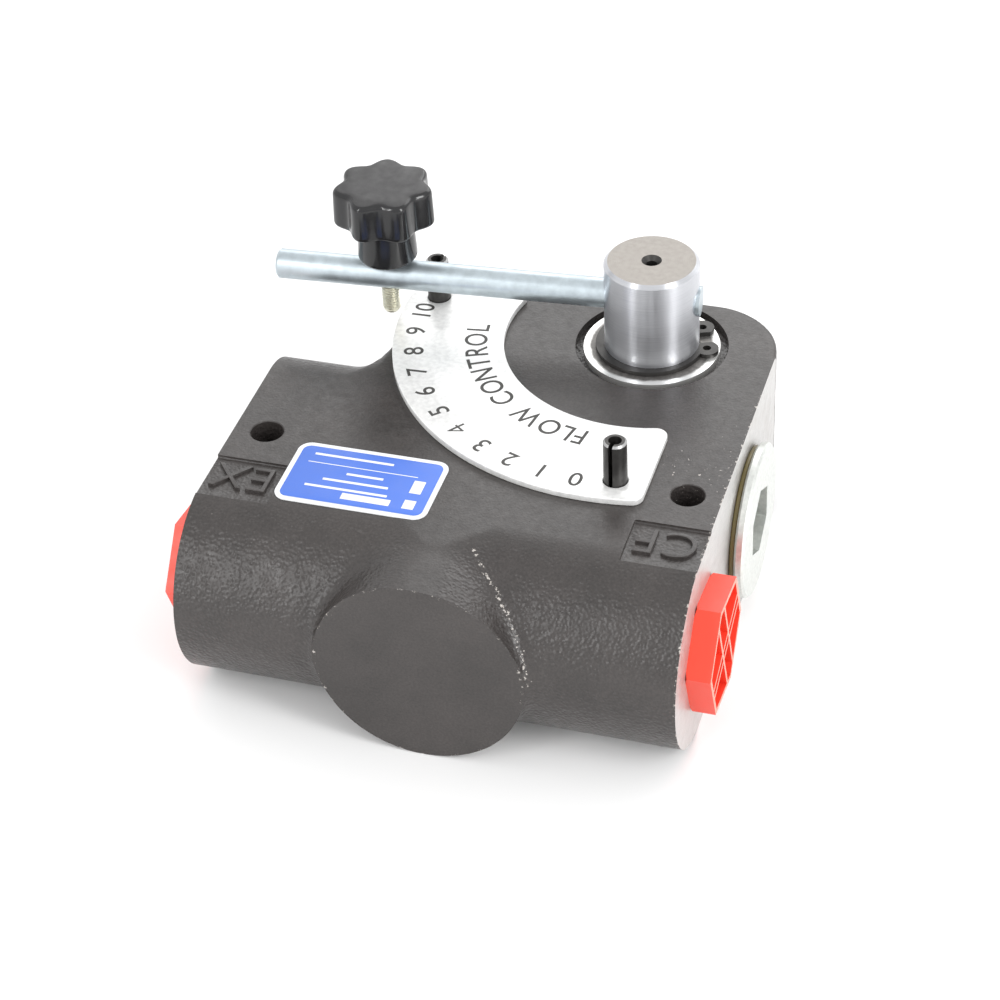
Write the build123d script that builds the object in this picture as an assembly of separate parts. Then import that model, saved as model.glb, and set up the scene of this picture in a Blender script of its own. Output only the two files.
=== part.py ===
from build123d import *
import math
import os

# Adjustable pressure-compensated flow control valve.
# Row frame, millimetres: +Z up, +Y towards the back, ports EX and CF along X.
# The origin is midway between the two mounting holes, on the base face.

# ---- casting -------------------------------------------------------------
BODY_LENGTH = 127.5          # over the two machined end faces, along X
BODY_HEIGHT = 53.5
HALF_L = BODY_LENGTH / 2
MID_Z = BODY_HEIGHT / 2      # every port and the compensator bore lie at mid height
BARREL_R = BODY_HEIGHT / 2   # port barrel, tangent to the base and to the top face
PORT_Y = -22.4               # axis of the EX and CF ports
BOSS_FACE_Y = -50.65         # flat face of the blank boss at the front
BOSS_R = 26.6
EAR_BACK_Y = 44.0            # back of the left ear, round the compensator bore
EAR_ROUND_R = 18.0
BACK_LEFT_X = -36.0          # left wall of the block that carries the spindle
BACK_Y = 82.0
BACK_RIGHT_R = 20.0
BACK_LEFT_R = 14.0
CAST_EDGE_R = 1.2            # soft edges of the casting

# ---- mounting holes, ports and passages ----------------------------------
MOUNT_PITCH = 110.0
MOUNT_HOLE_R = 4.25
PORT_THREAD_R = 13.2
PORT_THREAD_DEPTH = 22.0
PORT_PASSAGE_R = 9.5
EX_PASSAGE_END_X = 10.0      # the EX passage reaches past the middle of the body
CF_PASSAGE_END_X = 22.0
CROSS_PASSAGE_R = 8.0
EX_CHAMBER_X = 2.0
IN_CHAMBER_X = -22.0
CHAMBER_R = 14.0
EX_CHAMBER_W = 10.0
IN_CHAMBER_W = 12.0
INLET_X = 0.0                # inlet port in the back wall
INLET_TURN_Y = 60.0
INLET_SPOTFACE_R = 19.0
SPOTFACE_DEPTH = 0.5
INLET_CORE_R = 5.5

# ---- raised port marks in cast pockets -----------------------------------
POCKET_X = 44.8              # inner edge of each pocket
POCKET_BACK_Y = -12.2
POCKET_FRONT_Y = -25.5
POCKET_DEPTH = 0.9
LETTER_W = 7.0
LETTER_H = 9.0
LETTER_STROKE = 1.5
LETTER_Y = -18.6
LETTER_FIRST_X = 4.2         # first and second letter, in from the pocket's own edge
LETTER_SECOND_X = 13.4

# ---- spindle -------------------------------------------------------------
SPINDLE_X = 31.0
SPINDLE_Y = 60.0
SPINDLE_R = 12.5
SPINDLE_FIT = 0.05           # radial running clearance in the bore
SPINDLE_BOTTOM = 1.0
SPINDLE_TOP = 79.9
SPINDLE_CHAMFER = 1.0
CENTRE_HOLE_R = 1.5
CENTRE_SINK_R = 2.65
CENTRE_HOLE_DEPTH = 6.0
RECESS_R = 20.2
TOP_RECESS = 2.2
BASE_RECESS = 6.0
WASHER_R = 18.0
WASHER_BORE_R = 12.8
WASHER_T = 2.0
RING_T = 1.2
RING_GROOVE_R = 11.95
RING_GROOVE_W = 1.3
RING_OUTER_R = 14.3
RING_OFFSET = 0.5            # the ring is widest opposite its gap
RING_LUG_R = 3.1
RING_LUG_AT = 14.8
RING_LUG_ANGLE = 19.0        # each lug's angle from the middle of the gap
RING_LUG_HOLE_R = 1.1
RING_GAP_W = 4.6
TOP_RING_GAP_ANGLE = 20.0
ORING_GROOVE_R = 10.55
ORING_GROOVE_W = 2.4
ORING_WIRE_R = 0.97
ORING_HEIGHTS = {"upper": 45.0, "lower": 12.0}
WINDOW_H = 15.0              # metering window
WINDOW_DEPTH_R = 6.0

# ---- dial and stop pins --------------------------------------------------
DIAL_IN_R = 39.0
DIAL_OUT_R = 68.5
DIAL_T = 1.8
DIAL_END = 14.0              # the dial's two straight ends, from the spindle axis
DIAL_CORNER_R = 3.0
PIN_R = 3.0
PIN_BORE_R = 1.7
PIN_SLOT_W = 1.1
PIN_DEPTH = 14.0
PIN_ZERO = (SPINDLE_X + 5.9, SPINDLE_Y - 60.6)
PIN_TEN = (SPINDLE_X - 60.6, SPINDLE_Y + 5.9)
PIN_RISE = 14.0
PIN_CHAMFER = 0.5
PIN_ZERO_SLOT = -100.0      # the way each pin's slot faces
PIN_TEN_SLOT = 60.0

# ---- lever and clamp knob ------------------------------------------------
LEVER_R = 4.0
LEVER_Z = BODY_HEIGHT + 15.1
LEVER_ANGLE = 184.16         # rest position, just short of the stop at ten
LEVER_REACH = 101.0
LEVER_TAIL = 13.0
LEVER_CHAMFER = 0.6
STUD_AT = 70.5               # along the lever from the spindle axis
STUD_R = 2.4
STUD_FIT = 0.05
STUD_GAP = 1.5               # stud tip above the dial, and hub above the lever
STUD_CHAMFER = 0.4
HUB_R = 8.0
HUB_H = 11.5
KNOB_R = 13.6                # over the lobes
KNOB_VALLEY_R = 11.5
KNOB_H = 11.0
KNOB_LOBES = 7
KNOB_ROUND_R = 1.2
KNOB_BORE_DEPTH = 14.0

# ---- compensator ---------------------------------------------------------
COMP_Y = 26.9
COMP_BORE_R = 11.0
COMP_BORE_END_X = -50.0
SPOOL_R = 10.97
SPOOL_NOSE_R = 5.0
SPOOL_NOSE_X = -49.9
SPOOL_GUIDE_X = (-44.0, -28.0)
SPOOL_STEM_R = 6.0
SPOOL_LAND_X = (-5.0, 18.0)  # its left edge opens the EX chamber as the spool moves right
SPOOL_DRILLING_R = 1.5       # carries inlet pressure to the closed end of the bore
SPOOL_CROSS_HOLE_X = -16.5
SPOOL_GROOVES_X = (-40.0, -34.0, 10.0, 14.0)
SPOOL_GROOVE_W = 0.8
SPOOL_GROOVE_DEPTH = 0.5
SPOOL_CHAMFER = 0.3
SPRING_SEAT_X = 8.0
SPRING_SEAT_R = 8.0
SPRING_R = 6.4               # to the middle of the wire
SPRING_WIRE_R = 1.0
SPRING_TURNS = 8
SHIM_T = 1.0
SHIM_R = 10.5
PLUG_THREAD_R = 16.5
PLUG_DEPTH = 16.0
PLUG_SEAL_R = 0.72
PLUG_SEAL_AT = 18.55
PLUG_FLANGE_R = 20.3
PLUG_FLANGE_T = 2.6
PLUG_CHAMFER = 0.6
HEX_SOCKET_AF = 17.0
HEX_SOCKET_DEPTH = 10.0

# ---- plastic shipping plugs ----------------------------------------------
CAP_SHANK_R = 12.9
CAP_SHANK_L = 12.0
CAP_WALL = 1.6
CAP_END_T = 1.5
CAP_HEX_AF = 29.6
CAP_HEAD_L = 6.3
CAP_FACE_R = 16.2            # the hexagon's corners are turned off where it meets the port
CAP_POCKET_DEPTH = 4.4
CAP_RIM = 1.3
CAP_RIB_W = 1.0
CAP_RIB_AT = 3.1             # ribs along a diagonal, either side of the middle
CAP_CROSS_RIB_AT = 1.7       # ribs across them, either side of the middle
CAP_TURN = 21.7

# ---- label ---------------------------------------------------------------
LABEL_X = (-44.6, -4.9)
LABEL_Y = (-25.4, -2.0)
LABEL_T = 0.25
LABEL_CORNER_R = 3.4

AXIS_X = Rot(0, 90, 0)       # turns a +Z solid to point along +X
AXIS_Y = Rot(-90, 0, 0)      # turns a +Z solid to point along +Y
UP = (Align.CENTER, Align.CENTER, Align.MIN)


def rod_z(x, y, z_low, z_high, radius):
    return Pos(x, y, z_low) * Cylinder(radius, z_high - z_low, align=UP)


def rod_x(x_low, x_high, y, z, radius):
    return Pos(x_low, y, z) * AXIS_X * Cylinder(radius, x_high - x_low, align=UP)


def rod_y(x, y_low, y_high, z, radius):
    return Pos(x, y_low, z) * AXIS_Y * Cylinder(radius, y_high - y_low, align=UP)


def ring_z(x, y, z_low, z_high, outer, inner):
    return rod_z(x, y, z_low, z_high, outer) - rod_z(x, y, z_low - 1, z_high + 1, inner)


def block(x_low, x_high, y_low, y_high, z_low, z_high):
    size = (x_high - x_low, y_high - y_low, z_high - z_low)
    return Pos(x_low, y_low, z_low) * Box(*size, align=(Align.MIN, Align.MIN, Align.MIN))


def polar(radius, degrees, x=SPINDLE_X, y=SPINDLE_Y):
    return (x + radius * math.cos(math.radians(degrees)),
            y + radius * math.sin(math.radians(degrees)))


# ---- valve body ----------------------------------------------------------
def casting_outline():
    ear = Plane.YZ * Pos((PORT_Y + EAR_BACK_Y) / 2, MID_Z) * Rectangle(
        EAR_BACK_Y - PORT_Y, BODY_HEIGHT)
    ear = fillet(ear.vertices().group_by(Axis.Y)[-1], EAR_ROUND_R)
    ear = Pos(-HALF_L, 0, 0) * extrude(ear, BODY_LENGTH, dir=(1, 0, 0))
    back = block(BACK_LEFT_X, HALF_L, 0, BACK_Y, 0, BODY_HEIGHT)
    corners = back.edges().filter_by(Axis.Z).group_by(Axis.Y)[-1].sort_by(Axis.X)
    back = fillet(corners[0], BACK_LEFT_R)
    corners = back.edges().filter_by(Axis.Z).filter_by(
        lambda e: e.center().X > HALF_L - 1 and e.center().Y > BACK_Y - 1)
    back = fillet(corners, BACK_RIGHT_R)
    return ear + back


def casting():
    barrel = rod_x(-HALF_L, HALF_L, PORT_Y, MID_Z, BARREL_R)
    boss = rod_y(0, BOSS_FACE_Y, PORT_Y, MID_Z, BOSS_R)
    boss = fillet(boss.edges().group_by(Axis.Y)[0], CAST_EDGE_R)
    return casting_outline() + barrel + boss


def bar(x, y, length, degrees):
    """One raised stroke, lying in the pocket floor's plane."""
    height = POCKET_DEPTH - 0.1
    stroke = Box(length, LETTER_STROKE, height, align=UP)
    return Pos(x, y, BODY_HEIGHT - POCKET_DEPTH) * Rot(0, 0, degrees) * stroke


def letter(x, strokes):
    """Strokes are (across, up, length, degrees) as read from the back of the valve."""
    return [bar(x - across, LETTER_Y - up, length, 180 - degrees)
            for across, up, length, degrees in strokes]


def port_marks(first_x, second_x, is_ex):
    half_w = (LETTER_W - LETTER_STROKE) / 2
    half_h = (LETTER_H - LETTER_STROKE) / 2
    stem = (-half_w, 0, LETTER_H, 90)
    top = (0, half_h, LETTER_W, 0)
    middle = (-0.6, 0, LETTER_W - 1.2, 0)
    bottom = (0, -half_h, LETTER_W, 0)
    slope = math.degrees(math.atan2(LETTER_H, LETTER_W))
    diagonal = math.hypot(LETTER_H, LETTER_W) - LETTER_STROKE
    cross = [(0, 0, diagonal, slope), (0, 0, diagonal, -slope)]
    tips = [(half_w, half_h - 0.9, LETTER_STROKE + 1.2, 90),
            (half_w, 0.9 - half_h, LETTER_STROKE + 1.2, 90)]
    if is_ex:
        return letter(first_x, [stem, top, middle, bottom]) + letter(second_x, cross)
    return letter(first_x, [stem, top, bottom] + tips) + letter(second_x, [stem, top, middle])


def pocket(side):
    edges = sorted((side * POCKET_X, side * (HALF_L + 1)))
    return block(edges[0], edges[1], POCKET_FRONT_Y, POCKET_BACK_Y,
                 BODY_HEIGHT - POCKET_DEPTH, BODY_HEIGHT + 1)


def bores():
    """Everything that is machined or cored out of the casting."""
    cuts = [rod_z(side * MOUNT_PITCH / 2, 0, -1, BODY_HEIGHT + 1, MOUNT_HOLE_R)
            for side in (-1, 1)]
    cuts += [rod_z(*PIN_ZERO, BODY_HEIGHT - PIN_DEPTH, BODY_HEIGHT + 1, PIN_R),
             rod_z(*PIN_TEN, BODY_HEIGHT - PIN_DEPTH, BODY_HEIGHT + 1, PIN_R)]
    cuts += [rod_z(SPINDLE_X, SPINDLE_Y, -1, BODY_HEIGHT + 1, SPINDLE_R + SPINDLE_FIT),
             rod_z(SPINDLE_X, SPINDLE_Y, BODY_HEIGHT - TOP_RECESS, BODY_HEIGHT + 1, RECESS_R),
             rod_z(SPINDLE_X, SPINDLE_Y, -1, BASE_RECESS, RECESS_R)]
    # EX and CF ports
    for side in (-1, 1):
        deep = sorted((side * (HALF_L - PORT_THREAD_DEPTH), side * (HALF_L + 1)))
        cuts.append(rod_x(*deep, PORT_Y, MID_Z, PORT_THREAD_R))
    cuts += [rod_x(-HALF_L, EX_PASSAGE_END_X, PORT_Y, MID_Z, PORT_PASSAGE_R),
             rod_x(CF_PASSAGE_END_X, HALF_L, PORT_Y, MID_Z, PORT_PASSAGE_R)]
    # inlet port, its spot face and the core that turns to the metering window
    cuts += [rod_y(INLET_X, BACK_Y - SPOTFACE_DEPTH, BACK_Y + 1, MID_Z, INLET_SPOTFACE_R),
             rod_y(INLET_X, BACK_Y - PORT_THREAD_DEPTH, BACK_Y, MID_Z, PORT_THREAD_R),
             rod_x(INLET_X, SPINDLE_X, INLET_TURN_Y, MID_Z, CROSS_PASSAGE_R)]
    # core from the inlet to the compensator's inlet chamber
    run = math.hypot(INLET_X - IN_CHAMBER_X, INLET_TURN_Y - COMP_Y)
    turn = math.degrees(math.atan2(COMP_Y - INLET_TURN_Y, IN_CHAMBER_X - INLET_X))
    cuts.append(Pos(INLET_X, INLET_TURN_Y, MID_Z) * Rot(0, 0, turn)
                * rod_x(0, run, 0, 0, INLET_CORE_R))
    # compensator bore, its chambers and the seat of the threaded plug
    cuts += [rod_x(COMP_BORE_END_X, HALF_L, COMP_Y, MID_Z, COMP_BORE_R),
             rod_x(HALF_L - PLUG_DEPTH, HALF_L + 1, COMP_Y, MID_Z, PLUG_THREAD_R)]
    cuts += [rod_x(x - width / 2, x + width / 2, COMP_Y, MID_Z, CHAMBER_R)
             for x, width in ((IN_CHAMBER_X, IN_CHAMBER_W), (EX_CHAMBER_X, EX_CHAMBER_W))]
    # EX chamber to the EX port; metering window through the spring end to the CF port
    cuts += [rod_y(EX_CHAMBER_X, PORT_Y, COMP_Y, MID_Z, CROSS_PASSAGE_R),
             rod_y(SPINDLE_X, PORT_Y, SPINDLE_Y, MID_Z, CROSS_PASSAGE_R)]
    return cuts


def valve_body():
    body = casting()
    for side in (-1, 1):
        body -= pocket(side)
        first_at = side * POCKET_X + (-LETTER_FIRST_X if side < 0 else LETTER_SECOND_X)
        second_at = side * POCKET_X + (-LETTER_SECOND_X if side < 0 else LETTER_FIRST_X)
        for stroke in port_marks(first_at, second_at, side < 0):
            body += stroke & casting_envelope()
    for cut in bores():
        body -= cut
    return body


def casting_envelope():
    """The outer surface that a raised letter may not pass at the barrel's crown."""
    return rod_x(-HALF_L, HALF_L, PORT_Y, MID_Z, BARREL_R - 0.1) + block(
        -HALF_L, HALF_L, PORT_Y, 0, 0, BODY_HEIGHT)


# ---- spindle group -------------------------------------------------------
def along_lever(solid_along_x):
    return Pos(SPINDLE_X, SPINDLE_Y, LEVER_Z) * Rot(0, 0, LEVER_ANGLE) * solid_along_x


def spindle():
    shaft = rod_z(SPINDLE_X, SPINDLE_Y, SPINDLE_BOTTOM, SPINDLE_TOP, SPINDLE_R)
    shaft = chamfer(shaft.edges().filter_by(GeomType.CIRCLE), SPINDLE_CHAMFER)
    shaft -= rod_z(SPINDLE_X, SPINDLE_Y, SPINDLE_TOP - CENTRE_HOLE_DEPTH, SPINDLE_TOP + 1,
                   CENTRE_HOLE_R)
    sink = Cone(CENTRE_HOLE_R, CENTRE_SINK_R, CENTRE_SINK_R - CENTRE_HOLE_R, align=UP)
    shaft -= Pos(SPINDLE_X, SPINDLE_Y, SPINDLE_TOP - CENTRE_SINK_R + CENTRE_HOLE_R) * sink
    for z in (top_ring_z(), base_ring_z()):
        middle = z + RING_T / 2
        shaft -= ring_z(SPINDLE_X, SPINDLE_Y, middle - RING_GROOVE_W / 2,
                        middle + RING_GROOVE_W / 2, SPINDLE_R + 1, RING_GROOVE_R)
    for z in ORING_HEIGHTS.values():
        shaft -= ring_z(SPINDLE_X, SPINDLE_Y, z - ORING_GROOVE_W / 2,
                        z + ORING_GROOVE_W / 2, SPINDLE_R + 1, ORING_GROOVE_R)
    # metering window: open from the inlet side round to the CF side
    window = ring_z(SPINDLE_X, SPINDLE_Y, MID_Z - WINDOW_H / 2, MID_Z + WINDOW_H / 2,
                    SPINDLE_R + 1, WINDOW_DEPTH_R)
    low = MID_Z - WINDOW_H / 2
    quadrant = block(SPINDLE_X - 20, SPINDLE_X + 2, SPINDLE_Y - 20, SPINDLE_Y + 2,
                     low, low + WINDOW_H)
    shaft -= window & quadrant
    shaft -= along_lever(rod_x(-LEVER_TAIL - 2, SPINDLE_R + 2, 0, 0, LEVER_R))
    return shaft


def lever_rod():
    rod = rod_x(-LEVER_TAIL, LEVER_REACH, 0, 0, LEVER_R)
    rod = chamfer(rod.edges().group_by(Axis.X)[-1], LEVER_CHAMFER)
    rod -= rod_z(STUD_AT, 0, -LEVER_R - 1, LEVER_R + 1, STUD_R + STUD_FIT)
    return along_lever(rod)


def top_ring_z():
    return BODY_HEIGHT - TOP_RECESS + WASHER_T + 0.05


def base_ring_z():
    return BASE_RECESS - WASHER_T - 0.05 - RING_T


def retaining_ring(z_low, gap_angle):
    """External ring: eccentric, with two drilled lugs either side of its gap."""
    blank = Pos(-RING_OFFSET, 0, 0) * Cylinder(RING_OUTER_R, RING_T, align=UP)
    holes = []
    for side in (-1, 1):
        x, y = polar(RING_LUG_AT, side * RING_LUG_ANGLE, 0, 0)
        blank += Pos(x, y, 0) * Cylinder(RING_LUG_R, RING_T, align=UP)
        holes.append(Pos(x, y, -1) * Cylinder(RING_LUG_HOLE_R, RING_T + 2, align=UP))
    blank -= Pos(0, 0, -1) * Cylinder(RING_GROOVE_R + 0.02, RING_T + 2, align=UP)
    for hole in holes:
        blank -= hole
    blank -= block(5, RING_LUG_AT + 5, -RING_GAP_W / 2, RING_GAP_W / 2, -1, RING_T + 1)
    return Pos(SPINDLE_X, SPINDLE_Y, z_low) * Rot(0, 0, gap_angle) * blank


def thrust_washer(z_low):
    return ring_z(SPINDLE_X, SPINDLE_Y, z_low, z_low + WASHER_T, WASHER_R, WASHER_BORE_R)


def spindle_oring(z):
    return Pos(SPINDLE_X, SPINDLE_Y, z) * Torus(ORING_GROOVE_R + ORING_WIRE_R + 0.02,
                                                ORING_WIRE_R)


# ---- dial group ----------------------------------------------------------
def dial_plate():
    ring = Circle(DIAL_OUT_R) - Circle(DIAL_IN_R)
    reach = DIAL_OUT_R + 5
    keep = Pos((DIAL_END - reach) / 2, (DIAL_END - reach) / 2) * Rectangle(
        DIAL_END + reach, DIAL_END + reach)
    plate = ring & keep
    plate = fillet(plate.vertices(), DIAL_CORNER_R)
    plate = extrude(plate, DIAL_T, dir=(0, 0, 1))
    plate = Pos(SPINDLE_X, SPINDLE_Y, BODY_HEIGHT) * plate
    for pin in (PIN_ZERO, PIN_TEN):
        plate -= rod_z(*pin, BODY_HEIGHT - 1, BODY_HEIGHT + DIAL_T + 1, PIN_R)
    return plate


def stop_pin(place, slot_angle):
    bottom = BODY_HEIGHT - PIN_DEPTH
    pin = ring_z(0, 0, bottom, BODY_HEIGHT + PIN_RISE, PIN_R, PIN_BORE_R)
    pin = chamfer(pin.edges().group_by(Axis.Z)[-1].sort_by(SortBy.LENGTH)[-1],
                  PIN_CHAMFER)
    pin -= Rot(0, 0, slot_angle) * block(0, PIN_R + 1, -PIN_SLOT_W / 2, PIN_SLOT_W / 2,
                                         bottom - 1, BODY_HEIGHT + PIN_RISE + 1)
    return Pos(place[0], place[1], 0) * pin


# ---- clamp ---------------------------------------------------------------
STUD_X, STUD_Y = polar(STUD_AT, LEVER_ANGLE)
STUD_BOTTOM = BODY_HEIGHT + DIAL_T + STUD_GAP
HUB_BOTTOM = LEVER_Z + LEVER_R + STUD_GAP
STUD_TOP = HUB_BOTTOM + KNOB_BORE_DEPTH - 0.5


def clamp_stud():
    stud = rod_z(STUD_X, STUD_Y, STUD_BOTTOM, STUD_TOP, STUD_R)
    return chamfer(stud.edges().group_by(Axis.Z)[0], STUD_CHAMFER)


def clamp_knob():
    swing = (KNOB_R - KNOB_VALLEY_R) / 2
    points = []
    for step in range(8 * KNOB_LOBES):
        angle = 45 * step / KNOB_LOBES
        radius = KNOB_R - swing + swing * math.cos(math.radians(KNOB_LOBES * angle))
        points.append(polar(radius, angle, 0, 0))
    head = extrude(make_face(Spline(*points, periodic=True)), KNOB_H, dir=(0, 0, 1))
    rims = head.edges().group_by(Axis.Z)
    head = fillet(rims[0] + rims[-1], KNOB_ROUND_R)
    knob = Pos(0, 0, HUB_H) * head + Cylinder(HUB_R, HUB_H, align=UP)
    knob -= Pos(0, 0, -1) * Cylinder(STUD_R + STUD_FIT, KNOB_BORE_DEPTH + 1, align=UP)
    return Pos(STUD_X, STUD_Y, HUB_BOTTOM) * knob


# ---- compensator group ---------------------------------------------------
def compensator_spool():
    guide = rod_x(*SPOOL_GUIDE_X, COMP_Y, MID_Z, SPOOL_R)
    land = rod_x(*SPOOL_LAND_X, COMP_Y, MID_Z, SPOOL_R)
    spool = rod_x(SPOOL_NOSE_X, SPOOL_GUIDE_X[0] + 1, COMP_Y, MID_Z, SPOOL_NOSE_R)
    spool += rod_x(SPOOL_GUIDE_X[0] + 1, SPOOL_LAND_X[0] + 1, COMP_Y, MID_Z, SPOOL_STEM_R)
    for collar in (guide, land):
        spool += chamfer(collar.edges().filter_by(GeomType.CIRCLE), SPOOL_CHAMFER)
    spool -= rod_x(SPRING_SEAT_X, SPOOL_LAND_X[1] + 1, COMP_Y, MID_Z, SPRING_SEAT_R)
    spool -= rod_x(SPOOL_NOSE_X - 1, SPOOL_CROSS_HOLE_X, COMP_Y, MID_Z, SPOOL_DRILLING_R)
    spool -= rod_z(SPOOL_CROSS_HOLE_X, COMP_Y, MID_Z - SPOOL_R, MID_Z + SPOOL_R,
                   SPOOL_DRILLING_R)
    for x in SPOOL_GROOVES_X:
        spool -= (rod_x(x, x + SPOOL_GROOVE_W, COMP_Y, MID_Z, SPOOL_R + 1)
                  - rod_x(x - 1, x + 2, COMP_Y, MID_Z, SPOOL_R - SPOOL_GROOVE_DEPTH))
    return spool


def compensator_spring():
    start = SPRING_SEAT_X + SPRING_WIRE_R + 0.05
    end = HALF_L - PLUG_DEPTH - SHIM_T - SPRING_WIRE_R - 0.05
    path = Helix(pitch=(end - start) / SPRING_TURNS, height=end - start, radius=SPRING_R)
    wire = Plane(origin=path @ 0, z_dir=path % 0) * Circle(SPRING_WIRE_R)
    coil = sweep(wire, path=path, is_frenet=True)
    return Pos(start, COMP_Y, MID_Z) * AXIS_X * coil


def spring_shim():
    x_high = HALF_L - PLUG_DEPTH
    return (rod_x(x_high - SHIM_T, x_high, COMP_Y, MID_Z, SHIM_R)
            - rod_x(x_high - SHIM_T - 1, x_high + 1, COMP_Y, MID_Z, SHIM_R / 3))


def compensator_plug():
    flange_x = HALF_L + 2 * PLUG_SEAL_R
    face_x = flange_x + PLUG_FLANGE_T
    flange = rod_x(flange_x, face_x, COMP_Y, MID_Z, PLUG_FLANGE_R)
    flange = chamfer(flange.edges().filter_by(GeomType.CIRCLE), PLUG_CHAMFER)
    plug = flange + rod_x(HALF_L - PLUG_DEPTH, flange_x, COMP_Y, MID_Z, PLUG_THREAD_R)
    socket = extrude(RegularPolygon(HEX_SOCKET_AF / 2, 6, major_radius=False),
                     HEX_SOCKET_DEPTH + 1, dir=(0, 0, 1))
    socket = Pos(face_x - HEX_SOCKET_DEPTH, COMP_Y, MID_Z) * AXIS_X * socket
    return plug - socket


def plug_seal():
    return Pos(HALF_L + PLUG_SEAL_R, COMP_Y, MID_Z) * AXIS_X * Torus(PLUG_SEAL_AT, PLUG_SEAL_R)


# ---- shipping plugs ------------------------------------------------------
def port_cap():
    """Hexagon-headed plug along +Z; the port's face is at z = 0."""
    head = extrude(RegularPolygon(CAP_HEX_AF / 2, 6, major_radius=False), CAP_HEAD_L,
                   dir=(0, 0, 1))
    corner_r = CAP_HEX_AF / math.sqrt(3)
    head &= Cone(CAP_FACE_R, CAP_FACE_R + 2 * CAP_HEAD_L, CAP_HEAD_L, align=UP)
    hollow = extrude(RegularPolygon(CAP_HEX_AF / 2 - CAP_RIM, 6, major_radius=False),
                     CAP_POCKET_DEPTH, dir=(0, 0, 1))
    floor = CAP_HEAD_L - CAP_POCKET_DEPTH
    half_w = CAP_RIB_W / 2
    ribs = [block(-corner_r, corner_r, y - half_w, y + half_w, 0, CAP_HEAD_L)
            for y in (-CAP_RIB_AT, CAP_RIB_AT)]
    ribs += [block(x - half_w, x + half_w, -corner_r, corner_r, 0, CAP_HEAD_L)
             for x in (-CAP_CROSS_RIB_AT, CAP_CROSS_RIB_AT)]
    hollow = Pos(0, 0, floor) * hollow
    for rib in ribs:
        hollow -= rib
    head -= hollow
    shank = Cylinder(CAP_SHANK_R, CAP_SHANK_L, align=UP) - Cylinder(
        CAP_SHANK_R - CAP_WALL, CAP_SHANK_L - CAP_END_T, align=UP)
    return head + Pos(0, 0, -CAP_SHANK_L) * shank


# ---- label ---------------------------------------------------------------
def label_plate():
    outline = Pos(sum(LABEL_X) / 2, sum(LABEL_Y) / 2) * RectangleRounded(
        LABEL_X[1] - LABEL_X[0], LABEL_Y[1] - LABEL_Y[0], LABEL_CORNER_R)
    column = Pos(0, 0, MID_Z) * extrude(outline, BODY_HEIGHT, dir=(0, 0, 1))

    def skin(extra):
        return rod_x(-HALF_L, HALF_L, PORT_Y, MID_Z, BARREL_R + extra) + block(
            -HALF_L, HALF_L, PORT_Y, 1, MID_Z, BODY_HEIGHT + extra)
    return (column & skin(LABEL_T)) - skin(0)


def assembly():
    cap = port_cap()
    return {
        "valve_body": valve_body(),
        "spindle": spindle(),
        "spindle_oring_upper": spindle_oring(ORING_HEIGHTS["upper"]),
        "spindle_oring_lower": spindle_oring(ORING_HEIGHTS["lower"]),
        "thrust_washer_upper": thrust_washer(BODY_HEIGHT - TOP_RECESS),
        "thrust_washer_lower": thrust_washer(BASE_RECESS - WASHER_T),
        "retaining_ring_upper": retaining_ring(top_ring_z(), TOP_RING_GAP_ANGLE),
        "retaining_ring_lower": retaining_ring(base_ring_z(), 180 - TOP_RING_GAP_ANGLE),
        "lever_rod": lever_rod(),
        "clamp_stud": clamp_stud(),
        "clamp_knob": clamp_knob(),
        "dial_plate": dial_plate(),
        "stop_pin_zero": stop_pin(PIN_ZERO, PIN_ZERO_SLOT),
        "stop_pin_ten": stop_pin(PIN_TEN, PIN_TEN_SLOT),
        "label_plate": label_plate(),
        "compensator_spool": compensator_spool(),
        "compensator_spring": compensator_spring(),
        "spring_shim": spring_shim(),
        "compensator_plug": compensator_plug(),
        "compensator_plug_seal": plug_seal(),
        "ex_port_cap": Pos(-HALF_L, PORT_Y, MID_Z) * Rot(0, -90, 0) * Rot(0, 0, -CAP_TURN) * cap,
        "cf_port_cap": Pos(HALF_L, PORT_Y, MID_Z) * Rot(0, 90, 0) * Rot(0, 0, CAP_TURN) * cap,
        "inlet_port_cap": Pos(INLET_X, BACK_Y - SPOTFACE_DEPTH, MID_Z) * AXIS_Y * cap,
    }


os.makedirs("parts", exist_ok=True)
for name, solid in assembly().items():
    export_step(solid, f"parts/{name}.step")
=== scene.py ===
import math

import bmesh
import bpy
import numpy as np
from mathutils import Matrix, Vector, noise


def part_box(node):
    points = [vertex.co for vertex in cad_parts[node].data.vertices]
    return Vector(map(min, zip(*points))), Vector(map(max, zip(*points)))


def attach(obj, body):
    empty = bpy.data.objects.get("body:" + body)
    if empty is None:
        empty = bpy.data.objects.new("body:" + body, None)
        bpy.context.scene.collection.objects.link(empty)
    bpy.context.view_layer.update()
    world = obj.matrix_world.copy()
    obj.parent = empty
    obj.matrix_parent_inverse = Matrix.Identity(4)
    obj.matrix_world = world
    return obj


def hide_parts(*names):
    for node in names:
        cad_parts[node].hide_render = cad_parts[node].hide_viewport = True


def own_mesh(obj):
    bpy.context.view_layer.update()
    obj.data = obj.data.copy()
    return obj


# Adjustable flow control valve. Lengths are in millimetres until a mesh is finished, which
# is in metres. The frame is the CAD's: +Z up, origin between the two mounting holes.

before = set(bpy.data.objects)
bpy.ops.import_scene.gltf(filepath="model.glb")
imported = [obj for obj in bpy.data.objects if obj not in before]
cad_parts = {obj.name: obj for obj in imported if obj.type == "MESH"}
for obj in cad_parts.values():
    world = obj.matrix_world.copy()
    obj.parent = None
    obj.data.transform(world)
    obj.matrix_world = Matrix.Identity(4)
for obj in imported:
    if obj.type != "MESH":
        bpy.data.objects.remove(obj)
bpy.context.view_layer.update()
MM = 0.001


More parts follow.
